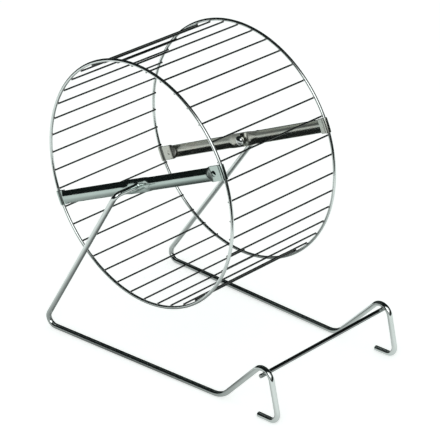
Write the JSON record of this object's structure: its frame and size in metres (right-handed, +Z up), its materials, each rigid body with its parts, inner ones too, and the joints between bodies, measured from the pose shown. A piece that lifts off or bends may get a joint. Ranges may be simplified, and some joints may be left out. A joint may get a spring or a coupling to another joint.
{
  "type": "rodent exercise wheel",
  "caption": "Small rodent exercise wheel of chromed wire: two hoops, forty rungs and two cross strips, turning on a bent wire stand with hooked feet.",
  "frame": {"origin": "on the floor, under the middle of the bounding box", "axes": "+X towards the hooked feet, +Y along the axle from the front side to the rear side, +Z up"},
  "size_m": [0.2619, 0.1648, 0.2503],
  "materials": {
    "stand_wire": "polished",
    "wheel_wire": "polished",
    "strip_sheet": "polished",
    "cap_metal": "polished"
  },
  "bodies": {
    "stand": {"front_side_wire": "stand_wire", "rear_side_wire": "stand_wire", "cross_bar": "stand_wire", "front_axle_cap": "cap_metal", "rear_axle_cap": "cap_metal"},
    "wheel": {"front_hoop": "wheel_wire", "rear_hoop": "wheel_wire", "front_strip": "strip_sheet", "rear_strip": "strip_sheet", "rung_01": "wheel_wire", "rung_02": "wheel_wire", "rung_03": "wheel_wire", "rung_04": "wheel_wire", "rung_05": "wheel_wire", "rung_06": "wheel_wire", "rung_07": "wheel_wire", "rung_08": "wheel_wire", "rung_09": "wheel_wire", "rung_10": "wheel_wire", "rung_11": "wheel_wire", "rung_12": "wheel_wire", "rung_13": "wheel_wire", "rung_14": "wheel_wire", "rung_15": "wheel_wire", "rung_16": "wheel_wire", "rung_17": "wheel_wire", "rung_18": "wheel_wire", "rung_19": "wheel_wire", "rung_20": "wheel_wire", "rung_21": "wheel_wire", "rung_22": "wheel_wire", "rung_23": "wheel_wire", "rung_24": "wheel_wire", "rung_25": "wheel_wire", "rung_26": "wheel_wire", "rung_27": "wheel_wire", "rung_28": "wheel_wire", "rung_29": "wheel_wire", "rung_30": "wheel_wire", "rung_31": "wheel_wire", "rung_32": "wheel_wire", "rung_33": "wheel_wire", "rung_34": "wheel_wire", "rung_35": "wheel_wire", "rung_36": "wheel_wire", "rung_37": "wheel_wire", "rung_38": "wheel_wire", "rung_39": "wheel_wire", "rung_40": "wheel_wire"}
  },
  "joints": [
    {"name": "wheel_spin", "type": "hinge", "parent": "stand", "child": "wheel", "pos_m": [-0.02205, 0, 0.149], "axis": [0, 1, 0], "continuous": true}
  ]
}
